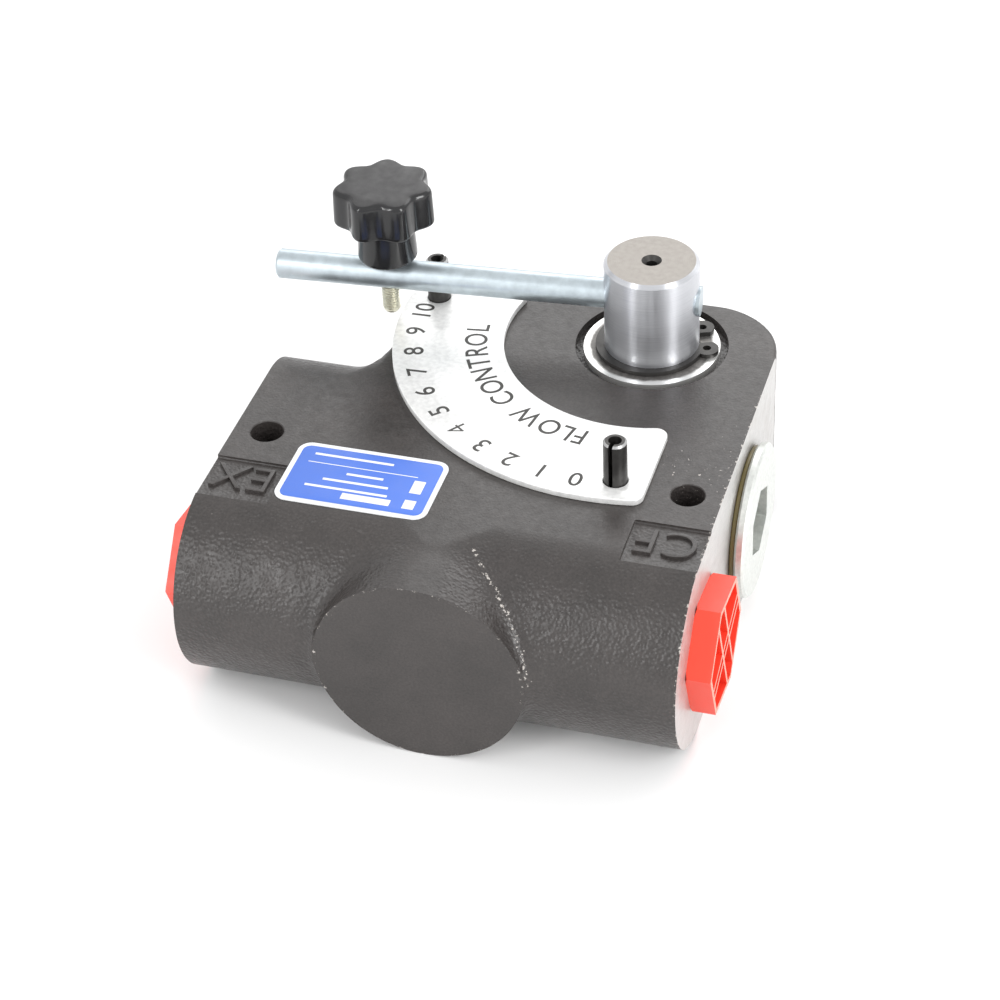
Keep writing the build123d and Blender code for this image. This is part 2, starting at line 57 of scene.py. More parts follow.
def mm_box(node):
    low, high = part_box(node)
    return low / MM, high / MM


def mm_middle(node):
    low, high = mm_box(node)
    return (low + high) / 2


BODY_LOW, BODY_HIGH = mm_box("valve_body")
HALF_L = BODY_HIGH.x
HEIGHT = BODY_HIGH.z
MID_Z = HEIGHT / 2
BACK_Y = BODY_HIGH.y
BOSS_FACE_Y = BODY_LOW.y
SPINDLE_HIGH = mm_box("spindle")[1]
SPINDLE = mm_middle("spindle")
STUD_LOW, STUD_HIGH = mm_box("clamp_stud")
STUD = mm_middle("clamp_stud")
STOP_PINS = ("stop_pin_zero", "stop_pin_ten")
KNOB_LOW, KNOB_HIGH = mm_box("clamp_knob")
CF_CAP_LOW, CF_CAP_HIGH = mm_box("cf_port_cap")
PORT_Y = (CF_CAP_LOW.y + CF_CAP_HIGH.y) / 2
CAP_FACE_X = CF_CAP_HIGH.x
INLET_CAP_HIGH = mm_box("inlet_port_cap")[1]
PLUG_LOW, PLUG_HIGH = mm_box("compensator_plug")
PLUG_Y = (PLUG_LOW.y + PLUG_HIGH.y) / 2
DIAL_TOP = mm_box("dial_plate")[1].z
LABEL_LOW, LABEL_HIGH = mm_box("label_plate")
WASHER_R = mm_box("thrust_washer_upper")[1].x - SPINDLE.x

# ---- casting ----
BARREL_R = HEIGHT / 2
BOSS_R = 26.6
EAR_BACK_Y = 44.0
EAR_ROUND_R = 18.0
BACK_LEFT_X = -36.0
BACK_LEFT_R = 14.0
BACK_RIGHT_R = 20.0
CAST_EDGE_R = 1.3
INNER_FILLET = 9.0
BOSS_FILLET = 3.6
PAST_END_X = 20.0            # right of here the back block runs on past the end face
OVERRUN = 3.0                # cast past each end face and the boss face, then cut flat
CAST_STEP = 0.95             # mesh size on the casting
CAST_WAVE = 0.07             # height of the casting's unevenness

# ---- machining ----
MOUNT_X = 55.0
MOUNT_HOLE_R = 4.25
MOUNT_CHAMFER = 0.4
PORT_THREAD_R = 13.2
PORT_THREAD_DEPTH = 22.0
PORT_CHAMFER = 1.4
PORT_PASSAGE_R = 9.5
EX_PASSAGE_END_X = 10.0
CF_PASSAGE_END_X = 22.0
RECESS_R = 20.2
RECESS_CHAMFER = 0.5
TOP_RECESS = 2.2
BASE_RECESS = 6.0
SPOTFACE_R = 19.0
SPOTFACE_DEPTH = 0.5
PLUG_THREAD_R = 16.5
PLUG_DEPTH = 16.0
SPOOL_BORE_R = 11.0
SPOOL_BORE_END_X = -50.0
PIN_R = 3.0
PIN_DEPTH = 14.0
FIT = 0.05                   # gap between a shaft and its bore

# ---- cast port marks ----
POCKET_X = 44.8
POCKET_Y = (-25.5, -12.2)
POCKET_DEPTH = 0.9
MARK_SIZE = 13.4
MARK_Y = -18.6
MARK_AT = (4.6, 12.9)        # middle of each letter, from the pocket's inner edge

# ---- dial ----
DIAL_IN_R = 39.0
DIAL_OUT_R = 68.5
DIAL_END = 14.0              # how far each straight end lies past the spindle's centre
DIAL_CORNER_R = 3.0
DIGIT_R = 62.5
DIGIT_SIZE = 7.4
DIGIT_START = -93.4          # degrees about the spindle, as are the next two angles
DIGIT_STEP = -8.5
WORD_MIDDLE = -136.0
WORD = "FLOW CONTROL"
WORD_R = 46.0
WORD_SIZE = 8.6
WORD_NARROW = 0.86           # letter width as a share of the font's own
WORD_GAP = 0.8
PRINT_WEIGHT = 0.05          # how much bolder than the font's own outline
PRINT_HALF_DEPTH = 0.02

# ---- clamp knob and stud ----
KNOB_R = 13.5
KNOB_VALLEY_R = 11.4
KNOB_LOBES = 7
LOBES_START_R = 8.0
LOBES_FULL_R = 12.0
KNOB_HEAD = 11.0
HUB_NECK_R = 7.3
HUB_R = 7.95
STUD_PITCH = 0.8
STUD_ROOT_R = 1.95

# ---- surfaces ----
IRON_STAIN = (0.42, 0.39, 0.36)
# WASHER_RIM is the width of the washer's painted highlight band
WASHER_RIM = 1.3             # bright band at the washer's edge
# inside SPINDLE_HOLE_R the centre hole is coloured black as painted shade
SPINDLE_HOLE_R = 3.5         # everything nearer the axis is the dark centre hole

# ---- compensator spring ----
SPRING_WIRE_R = 1.0
SPRING_TURNS = 8
SPRING_SOLID_TURNS = 0.75    # closed up at each end
SPRING_TURN_STEPS = 40
SPRING_WIRE_SIDES = 12

# ---- shipping plugs and label ----
CAP_SHANK_R = 12.75
CAP_CREST_R = 13.1
CAP_PITCH = 1.8
CAP_SHANK_L = 12.0
LABEL_BORDER = 1.3
LABEL_CORNER_R = 3.4
LABEL_ROW = 3.1
LABEL_FIRST_ROW = 2.0
LABEL_INK = 0.05             # thickness of each printed layer

# ---- camera and lights, in metres but for the lens and sensor ----
CAMERA_SENSOR = 36.0
CAMERA_LENS = 96.05
CAMERA_PLACE = (0.1715, -0.4994, 0.4608)
CAMERA_RIGHT = Vector((0.95793147, 0.28444945, -0.03815508))
CAMERA_UP = Vector((-0.14863773, 0.60544222, 0.78188653))
LIGHT_TARGET = Vector((0, 0, 0.03))


# ---------------------------------------------------------------- mesh tools
def link(name, data):
    piece = bpy.data.objects.new(name, data)
    bpy.context.scene.collection.objects.link(piece)
    return piece


def from_bmesh(name, bm):
    bmesh.ops.recalc_face_normals(bm, faces=bm.faces)
    mesh = bpy.data.meshes.new(name)
    bm.to_mesh(mesh)
    bm.free()
    return link(name, mesh)


def add_block(bm, low, high):
    size = Vector(high) - Vector(low)
    place = Matrix.Translation(Vector(low) + size / 2) @ Matrix.Diagonal((*size, 1))
    bmesh.ops.create_cube(bm, size=1, matrix=place)


def skin(bm, rings):
    """Joins a list of vertex rings; a ring of one vertex closes an end."""
    turns = max(len(ring) for ring in rings)
    for below, above in zip(rings, rings[1:]):
        for step in range(turns):
            after = (step + 1) % turns
            corners = [below[step % len(below)], below[after % len(below)],
                       above[after % len(above)], above[step % len(above)]]
            unique = list(dict.fromkeys(corners))
            if len(unique) > 2:
                bm.faces.new(unique)


def revolve(bm, profile, place, turns=96, shape=None):
    """Closed solid of revolution: profile is (radius, height) from axis to axis."""
    rings = []
    for radius, height in profile:
        if radius < 1e-6:
            rings.append([bm.verts.new(place @ Vector((0, 0, height)))])
            continue
        ring = []
        for step in range(turns):
            angle = 2 * math.pi * step / turns
            reach = shape(radius, angle) if shape else radius
            point = Vector((reach * math.cos(angle), reach * math.sin(angle), height))
            ring.append(bm.verts.new(place @ point))
        rings.append(ring)
    skin(bm, rings)


def softened(profile, radius, steps=4):
    """The same outline with each inner corner rounded; end points stay."""
    points = [Vector(p) for p in profile]
    rounded = [tuple(points[0])]
    for before, corner, after in zip(points, points[1:], points[2:]):
        to_before, to_after = before - corner, after - corner
        reach = min(radius, 0.45 * to_before.length, 0.45 * to_after.length)
        start = corner + to_before.normalized() * reach
        end = corner + to_after.normalized() * reach
        for step in range(steps + 1):
            t = step / steps
            rounded.append(tuple(start * (1 - t) ** 2 + corner * 2 * t * (1 - t) + end * t * t))
    rounded.append(tuple(points[-1]))
    return rounded


def subdivided(profile, parts):
    """The same outline with each of its spans cut into equal parts."""
    points = []
    for (radius, height), (after, above) in zip(profile, profile[1:]):
        for part in range(parts):
            points.append((radius + (after - radius) * part / parts,
                           height + (above - height) * part / parts))
    return points + [profile[-1]]


def helical_ridge(bm, root_r, crest_r, pitch, length, place, turn_steps=40):
    """A pointed thread ridge wound up +Z; it grows and fades over its first and last turn."""
    rings = []
    steps = round((length / pitch - 1) * turn_steps)
    for step in range(steps + 1):
        angle = 2 * math.pi * step / turn_steps
        climb = pitch * step / turn_steps
        fade = min(1, step / turn_steps, (steps - step) / turn_steps)
        crest = root_r - 0.1 + (crest_r - root_r + 0.1) * fade
        ring = []
        for radius, rise in ((root_r - 0.1, 0.02), (crest, 0.42), (crest, 0.58), (root_r - 0.1, 0.98)):
            point = Vector((radius * math.cos(angle), radius * math.sin(angle), climb + rise * pitch))
            ring.append(bm.verts.new(place @ point))
        rings.append(ring)
    skin(bm, rings)
    bm.faces.new(rings[0])
    bm.faces.new(rings[-1])


def along_x(x, y, z, sign=1):
    return Matrix.Translation((x, y, z)) @ Matrix.Rotation(sign * math.pi / 2, 4, "Y")


def along_y(x, y, z, sign=1):
    return Matrix.Translation((x, y, z)) @ Matrix.Rotation(-sign * math.pi / 2, 4, "X")


def upright(x, y, z):
    return Matrix.Translation((x, y, z))


def active(piece):
    bpy.ops.object.select_all(action="DESELECT")
    piece.select_set(True)
    bpy.context.view_layer.objects.active = piece


def apply_modifier(piece, kind, **settings):
    modifier = piece.modifiers.new(kind.lower(), kind)
    for key, value in settings.items():
        setattr(modifier, key, value)
    active(piece)
    bpy.ops.object.modifier_apply(modifier=modifier.name)


def cut(piece, cutter, operation="DIFFERENCE"):
    apply_modifier(piece, "BOOLEAN", object=cutter, operation=operation, solver="EXACT")
    bpy.data.objects.remove(cutter)


def joined(name, pieces):
    bpy.ops.object.select_all(action="DESELECT")
    for piece in pieces:
        piece.select_set(True)
    bpy.context.view_layer.objects.active = pieces[0]
    bpy.ops.object.join()
    pieces[0].name = name
    return pieces[0]


def as_mesh(curve, place):
    """The mesh of a curve or text, placed, as an object of its own."""
    source = link(curve.name, curve)
    active(source)
    bpy.ops.object.convert(target="MESH")
    piece = bpy.context.view_layer.objects.active
    piece.data.transform(place)
    return piece


def smooth(piece, sharp_degrees=32):
    piece.data.shade_smooth()
    piece.data.set_sharp_from_angle(angle=math.radians(sharp_degrees))


def finished(piece, material, body, replaced=(), sharp_degrees=32):
    """Scales a millimetre mesh to metres, shades it and hands it to the frame."""
    piece.data.transform(Matrix.Scale(MM, 4))
    smooth(piece, sharp_degrees)
    piece.data.materials.clear()
    piece.data.materials.append(material)
    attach(piece, body)
    if replaced:
        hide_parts(*replaced)
    return piece


def another_material(piece, material, wanted):
    """Gives the faces for which wanted(centre in mm, normal) is true another material."""
    piece.data.materials.append(material)
    last = len(piece.data.materials) - 1
    for face in piece.data.polygons:
        if wanted(face.center / MM, face.normal):
            face.material_index = last


# ---------------------------------------------------------------- materials
class Nodes:
    """A short way to build one node material."""

    def __init__(self, name):
        self.material = bpy.data.materials.new(name)
        self.material.use_nodes = True
        self.tree = self.material.node_tree
        self.shader = self.tree.nodes["Principled BSDF"]

    def node(self, kind, **settings):
        made = self.tree.nodes.new(kind)
        for key, value in settings.items():
            if key in made.bl_rna.properties:
                setattr(made, key, value)
            else:
                made.inputs[key.replace("_", " ")].default_value = value
        return made

    def join(self, source, target):
        self.tree.links.new(source, target)

    def place(self, scale=(1, 1, 1)):
        """Object coordinates in millimetres."""
        coordinates = self.node("ShaderNodeTexCoord")
        mapping = self.node("ShaderNodeMapping")
        mapping.inputs["Scale"].default_value = [s / MM for s in scale]
        self.join(coordinates.outputs["Object"], mapping.inputs["Vector"])
        return mapping.outputs["Vector"]

    def axes(self, where):
        split = self.node("ShaderNodeSeparateXYZ")
        self.join(where, split.inputs[0])
        return split.outputs

    def noise(self, where, scale, detail=3.0, roughness=0.55):
        made = self.node("ShaderNodeTexNoise", Scale=scale, Detail=detail, Roughness=roughness)
        self.join(where, made.inputs["Vector"])
        return made.outputs["Fac"]

    def ramp(self, value, stops):
        made = self.node("ShaderNodeValToRGB")
        while len(made.color_ramp.elements) < len(stops):
            made.color_ramp.elements.new(0.5)
        for element, (position, colour) in zip(made.color_ramp.elements, stops):
            element.position = position
            element.color = (*colour, 1) if len(colour) == 3 else (colour[0],) * 3 + (1,)
        self.join(value, made.inputs["Fac"])
        return made.outputs["Color"]

    def math(self, operation, a, b=0.0, clamp=False):
        made = self.node("ShaderNodeMath", operation=operation, use_clamp=clamp)
        for socket, value in zip(made.inputs, (a, b)):
            if isinstance(value, (int, float)):
                socket.default_value = value
            else:
                self.join(value, socket)
        return made.outputs["Value"]

    def near(self, value, target, reach):
        """1 at the target, fading to 0 at a distance of reach."""
        distance = self.math("ABSOLUTE", self.math("SUBTRACT", value, target))
        return self.math("SUBTRACT", 1.0, self.math("DIVIDE", distance, reach), clamp=True)

    def above(self, value, target, reach):
        """0 below the target, rising to 1 over reach."""
        return self.math("DIVIDE", self.math("SUBTRACT", value, target), reach, clamp=True)

    def radius(self, a, b):
        squares = self.math("ADD", self.math("MULTIPLY", a, a), self.math("MULTIPLY", b, b))
        return self.math("SQRT", squares)

    def mix(self, factor, a, b, blend="MIX"):
        made = self.node("ShaderNodeMix", data_type="RGBA", blend_type=blend)
        for socket, value in zip((made.inputs[0], made.inputs[6], made.inputs[7]), (factor, a, b)):
            if isinstance(value, tuple):
                socket.default_value = (*value, 1)
            elif isinstance(value, float):
                socket.default_value = value
            else:
                self.join(value, socket)
        return made.outputs[2]

    def bump(self, height, strength, distance_mm):
        made = self.node("ShaderNodeBump", Strength=strength, Distance=distance_mm * MM)
        self.join(height, made.inputs["Height"])
        return made.outputs["Normal"]

    def finish(self, colour=None, roughness=None, normal=None, **constants):
        for key, value in (("Base Color", colour), ("Roughness", roughness), ("Normal", normal)):
            if value is None:
                continue
            if isinstance(value, tuple):
                self.shader.inputs[key].default_value = (*value, 1)
            elif isinstance(value, float):
                self.shader.inputs[key].default_value = value
            else:
                self.join(value, self.shader.inputs[key])
        for key, value in constants.items():
            self.shader.inputs[key.replace("_", " ")].default_value = value
        return self.material


def chips(n, where):
    """1 where worn chips bare the iron, and where the same light colour stands in for painted glints:
    along the right end and beside it, round the boss, in its crease.
    """
    x, y, z = n.axes(where)
    forward = n.math("SUBTRACT", 1.0, n.above(y, EAR_BACK_Y, 10.0))
    at_end = n.math("MULTIPLY", n.near(x, HALF_L, 1.6), forward)
    ring = n.near(n.radius(x, n.math("SUBTRACT", z, MID_Z)), BOSS_R, 1.3)
    at_boss = n.math("MULTIPLY", n.math("MULTIPLY", ring, 0.7), n.near(y, BOSS_FACE_Y, 1.2))
    crease = n.near(n.math("ADD", x, y), PORT_Y, 2.4)
    crease = n.math("MULTIPLY", crease, n.above(x, 4.0, 6.0))
    crease = n.math("MULTIPLY", crease, n.above(z, MID_Z - 4, 8.0))
    # broad patch on the right-hand side, where the light chips are partly painted glints
    corner = n.math("MULTIPLY", n.above(x, 30.0, 20.0), n.near(y, 12.0, 30.0))
    edges = n.math("MAXIMUM", n.math("MAXIMUM", at_end, at_boss),
                   n.math("MAXIMUM", crease, n.math("MULTIPLY", corner, 0.55)))
    chip_and_glint = n.math("ADD", n.noise(where, 0.9, 5.0, 0.7), n.math("MULTIPLY", edges, 0.22))
    return n.ramp(chip_and_glint, [(0.745, (0.0,)), (0.775, (1.0,))])


def sand_texture(n, where):
    """Pebbles left by the mould, strong on the barrel, weak on the top, absent on the boss face."""
    _, y, z = n.axes(where)
    grains = n.node("ShaderNodeTexVoronoi", feature="SMOOTH_F1", Scale=1.15, Smoothness=0.8)
    n.join(where, grains.inputs["Vector"])
    pebble = n.math("MULTIPLY", grains.outputs["Distance"], n.noise(where, 0.3, 2.0))
    on_top = n.above(z, HEIGHT - 1.6, 1.2)
    on_boss = n.math("SUBTRACT", 1.0, n.above(y, BOSS_FACE_Y + 0.05, 0.3))
    calm = n.math("MAXIMUM", n.math("MULTIPLY", on_top, 0.9), on_boss)
    return n.math("MULTIPLY", pebble, n.math("SUBTRACT", 1.0, calm))


def cast_paint():
    """Dark satin paint over sand-cast iron, chipped along some edges; the light chips on the
    right-hand edges are also painted glints.
    """
    n = Nodes("cast_paint")
    where = n.place()
    mottle = n.noise(where, 0.07, 4.0)
    colour = n.ramp(mottle, [(0.3, (0.030, 0.026, 0.0245)), (0.7, (0.044, 0.038, 0.036))])
    fine = n.noise(where, 1.6, 3.0)
    colour = n.mix(0.8, colour, n.ramp(fine, [(0.35, (0.72,)), (0.7, (1.25,))]), "MULTIPLY")
    # light iron colour in the chips: worn paint, and painted glints on the right-hand edges
    colour = n.mix(chips(n, where), colour, IRON_STAIN)
    pebble = sand_texture(n, where)
    height = n.math("ADD", n.math("MULTIPLY", pebble, 1.3), n.math("MULTIPLY", fine, 0.14))
    rough = n.ramp(n.noise(where, 0.5, 3.0), [(0.3, (0.30,)), (0.75, (0.44,))])
    return n.finish(colour, rough, n.bump(height, 0.72, 0.5), Specular_IOR_Level=0.55)


def bare_iron():
    """Machined iron: light grey with fine facing marks."""
    n = Nodes("bare_iron")
    lines = n.noise(n.place((0.25, 0.25, 6.0)), 1.2, 4.0)
    colour = n.ramp(lines, [(0.3, (0.50, 0.49, 0.48)), (0.7, (0.66, 0.65, 0.64))])
    stain = n.noise(n.place(), 0.10, 4.0)
    colour = n.mix(n.ramp(stain, [(0.5, (0.0,)), (0.8, (0.5,))]), colour, IRON_STAIN)
    rough = n.ramp(n.noise(n.place(), 0.4), [(0.3, (0.36,)), (0.7, (0.5,))])
    return n.finish(colour, rough, n.bump(lines, 0.15, 0.05), Metallic=0.8)


def steel(name, colour, rough, lines=(1, 1, 1), line_scale=1.0, line_bump=0.1, metallic=1.0):
    """Metal with faint streaks and a smudged shine."""
    n = Nodes(name)
    streaks = n.noise(n.place(lines), line_scale, 4.0)
    smudge = n.noise(n.place(), 0.12, 3.0)
    dark = tuple(c * 0.82 for c in colour)
    tint = n.mix(n.ramp(streaks, [(0.3, (0.0,)), (0.7, (1.0,))]), dark, colour)
    roughness = n.ramp(smudge, [(0.3, (rough * 0.8,)), (0.75, (min(1.0, rough * 1.35),))])
    return n.finish(tint, roughness, n.bump(streaks, line_bump, 0.03), Metallic=metallic)


def turned_steel():
    """Bright turned bar, whose fine grooves draw the light out along its length."""
    n = Nodes("turned_steel")
    lines = n.noise(n.place((0.08, 0.08, 5.0)), 1.0, 2.0)
    colour = n.ramp(lines, [(0.3, (0.54, 0.55, 0.58)), (0.7, (0.64, 0.65, 0.68))])
    rough = n.ramp(n.noise(n.place(), 0.12), [(0.3, (0.29,)), (0.75, (0.36,))])
    tangent = n.node("ShaderNodeTangent", direction_type="RADIAL", axis="Z")
    n.join(tangent.outputs["Tangent"], n.shader.inputs["Tangent"])
    return n.finish(colour, rough, Metallic=0.95, Anisotropic=0.85, Anisotropic_Rotation=0.25)


def from_spindle(n, where):
    """Distance from the spindle's axis."""
    x, y, _ = n.axes(where)
    return n.radius(n.math("SUBTRACT", x, SPINDLE.x), n.math("SUBTRACT", y, SPINDLE.y))


def faced_steel():
    """The spindle's top: a matt, warm grey face with rings left by the lathe."""
    n = Nodes("faced_steel")
    where = n.place()
    rings = n.math("SINE", n.math("MULTIPLY", from_spindle(n, where), 14.0))
    patches = n.noise(where, 0.7, 4.0)
    colour = n.ramp(patches, [(0.3, (0.33, 0.305, 0.28)), (0.7, (0.385, 0.36, 0.33))])
    colour = n.mix(0.5, colour, n.ramp(rings, [(0.0, (0.88,)), (1.0, (1.06,))]), "MULTIPLY")
    return n.finish(colour, 0.6, n.bump(rings, 0.2, 0.02), Metallic=0.15)


def washer_steel():
    """A painted highlight in a bright band at the rim, and a painted dark reflection over the rest of
    the face.
    """
    n = Nodes("washer_steel")
    where = n.place()
    wander = n.math("MULTIPLY", n.noise(where, 0.25, 3.0), 1.6)
    # the bright band at the rim is a painted highlight
    rim_glint = n.above(n.math("ADD", from_spindle(n, where), wander), WASHER_R - WASHER_RIM, 0.8)
    # the dark face inside the band is a painted dark reflection
    painted_dark_reflection = n.ramp(n.noise(where, 0.8, 4.0), [(0.3, (0.14, 0.135, 0.13)), (0.7, (0.24, 0.23, 0.22))])
    colour = n.mix(rim_glint, painted_dark_reflection, (0.88, 0.88, 0.86))
    rough = n.math("SUBTRACT", 0.5, n.math("MULTIPLY", rim_glint, 0.2))
    return n.finish(colour, rough, n.bump(n.noise(where, 2.0), 0.06, 0.05), Metallic=0.8)


def plastic(name, colour, rough, grain=0.6, grain_bump=0.08):
    """Plastic, rubber or ink, slightly uneven in shade and shine."""
    n = Nodes(name)
    where = n.place()
    shade = n.noise(where, 0.15, 3.0)
    dark = tuple(c * 0.85 for c in colour)
    tint = n.mix(shade, dark, colour)
    roughness = n.ramp(n.noise(where, 0.3), [(0.3, (rough * 0.85,)), (0.7, (rough * 1.2,))])
    return n.finish(tint, roughness, n.bump(n.noise(where, grain, 2.0), grain_bump, 0.1))


# ---------------------------------------------------------------- the casting
def smooth_min(a, b, reach):
    """The lesser of two distances, with a fillet where the two are close."""
    blend = np.clip(1 - np.abs(a - b) / reach, 0, 1)
    return np.minimum(a, b) - blend * blend * reach / 4


def rounded_box(u, v, centre, half, radius):
    """Signed distance to a rectangle with rounded corners."""
    du = np.abs(u - centre[0]) - half[0] + radius
    dv = np.abs(v - centre[1]) - half[1] + radius
    outside = np.hypot(np.maximum(du, 0), np.maximum(dv, 0))
    return outside + np.minimum(np.maximum(du, dv), 0) - radius


def rounded_edge(a, b, radius):
    """Intersection of two solids whose shared edge is rounded."""
    outside = np.hypot(np.maximum(a + radius, 0), np.maximum(b + radius, 0))
    return outside + np.minimum(np.maximum(a, b) + radius, 0) - radius


def casting_distance(points):
    """Signed distance to the casting's outer surface, before machining."""
    x, y, z = points.T
    slab = np.abs(z - MID_Z) - MID_Z
    front = PORT_Y - BARREL_R
    middle = ((front + EAR_BACK_Y) / 2, MID_Z)
    half = ((EAR_BACK_Y - front) / 2, MID_Z)
    radius = np.where(y < middle[0], BARREL_R - 0.01, EAR_ROUND_R)
    main = rounded_box(y, z, middle, half, radius)
    centre = ((BACK_LEFT_X + HALF_L) / 2, BACK_Y / 2)
    half = ((HALF_L - BACK_LEFT_X) / 2, BACK_Y / 2)
    radius = np.where(x < centre[0], BACK_LEFT_R, BACK_RIGHT_R)
    back = rounded_box(x, y, centre, half, radius)
    past_end = np.maximum.reduce([y - (BACK_Y - BACK_RIGHT_R), PAST_END_X - x, -y])
    back = rounded_edge(np.minimum(back, past_end), slab, CAST_EDGE_R)
    shape = smooth_min(main, back, INNER_FILLET)
    boss = np.hypot(x, z - MID_Z) - BOSS_R
    boss = np.maximum(boss, np.maximum(BOSS_FACE_Y - OVERRUN - y, y - EAR_BACK_Y))
    shape = np.maximum(smooth_min(shape, boss, BOSS_FILLET), slab)
    return np.maximum(shape, np.abs(x) - HALF_L - OVERRUN)


def settle(points, distance, rounds=6, step=0.02):
    """Moves points onto the zero of a distance function along its gradient."""
    for _ in range(rounds):
        here = distance(points)
        slope = np.empty_like(points)
        for axis in range(3):
            ahead = points.copy()
            ahead[:, axis] += step
            slope[:, axis] = (distance(ahead) - here) / step
        size = np.maximum((slope ** 2).sum(1, keepdims=True), 0.25)
        points = points - np.clip(here[:, None], -1, 1) * slope / size
    return points


def casting_blank():
    """Overlapping blocks and rods near the final shape, remeshed and settled onto it."""
    bm = bmesh.new()
    far = HALF_L + OVERRUN
    ear_y = EAR_BACK_Y - EAR_ROUND_R
    right = (HALF_L - BACK_RIGHT_R, BACK_Y - BACK_RIGHT_R)
    left = (BACK_LEFT_X + BACK_LEFT_R, BACK_Y - BACK_LEFT_R)
    add_block(bm, (-far, PORT_Y, 0), (far, ear_y, HEIGHT))
    add_block(bm, (-far, 0, EAR_ROUND_R), (far, EAR_BACK_Y, HEIGHT - EAR_ROUND_R))
    add_block(bm, (BACK_LEFT_X, 0, 0), (right[0], left[1], HEIGHT))
    add_block(bm, (left[0], 0, 0), (right[0], BACK_Y, HEIGHT))
    add_block(bm, (0, 0, 0), (far, right[1], HEIGHT))
    for radius, y, z in ((BARREL_R, PORT_Y, MID_Z), (EAR_ROUND_R, ear_y, EAR_ROUND_R),
                         (EAR_ROUND_R, ear_y, HEIGHT - EAR_ROUND_R)):
        revolve(bm, [(0, 0), (radius, 0), (radius, 2 * far), (0, 2 * far)], along_x(-far, y, z))
    for radius, (x, y) in ((BACK_RIGHT_R, right), (BACK_LEFT_R, left)):
        revolve(bm, [(0, 0), (radius, 0), (radius, HEIGHT), (0, HEIGHT)], upright(x, y, 0))
    length = PORT_Y - BOSS_FACE_Y + OVERRUN
    revolve(bm, [(0, 0), (BOSS_R, 0), (BOSS_R, length), (0, length)],
            along_y(0, BOSS_FACE_Y - OVERRUN, MID_Z))
    blank = from_bmesh("cast_body", bm)
    apply_modifier(blank, "REMESH", mode="VOXEL", voxel_size=CAST_STEP)
    points = np.empty(len(blank.data.vertices) * 3)
    blank.data.vertices.foreach_get("co", points)
    points = settle(points.reshape(-1, 3), casting_distance)
    points += cast_unevenness(points)
    blank.data.vertices.foreach_set("co", points.ravel())
    blank.data.update()
    return blank


def cast_unevenness(points):
    """A gentle wave that pushes inwards, so that the casting stays in its box."""
    inward = Vector((0, BACK_Y / 3, MID_Z))
    shifts = np.zeros_like(points)
    for row, point in enumerate(points):
        place = Vector(point)
        wave = noise.noise(place * 0.11) + 0.5 * noise.noise(place * 0.29)
        direction = (inward - place).normalized()
        shifts[row] = direction * CAST_WAVE * (1 + wave)
    return shifts


def mark_letter(character, x):
    """One raised letter, read from behind the valve."""
    curve = bpy.data.curves.new("mark_" + character, "FONT")
    curve.body = character
    curve.size = MARK_SIZE
    curve.align_x = "CENTER"
    curve.align_y = "CENTER"
    curve.extrude = POCKET_DEPTH / 2
    curve.offset = -0.22
    curve.bevel_depth = 0.12
    place = Matrix.Translation((x, MARK_Y, HEIGHT - POCKET_DEPTH / 2 - 0.2))
    return as_mesh(curve, place @ Matrix.Rotation(math.pi, 4, "Z"))


def port_pocket(side):
    """The sunk field round one port's mark, open to the end face."""
    bm = bmesh.new()
    add_block(bm, (POCKET_X, POCKET_Y[0] - 2, HEIGHT - POCKET_DEPTH),
              (HALF_L + OVERRUN + 2, POCKET_Y[1], HEIGHT + 2))
    if side < 0:
        bmesh.ops.transform(bm, matrix=Matrix.Scale(-1, 4, (1, 0, 0)), verts=bm.verts)
    edges = [e for e in bm.edges if all(v.co.z < HEIGHT for v in e.verts)
             or abs(e.verts[0].co.z - e.verts[1].co.z) > 1]
    bmesh.ops.bevel(bm, geom=edges, offset=0.35, segments=3, profile=0.5, affect="EDGES")
    return from_bmesh("pocket", bm)


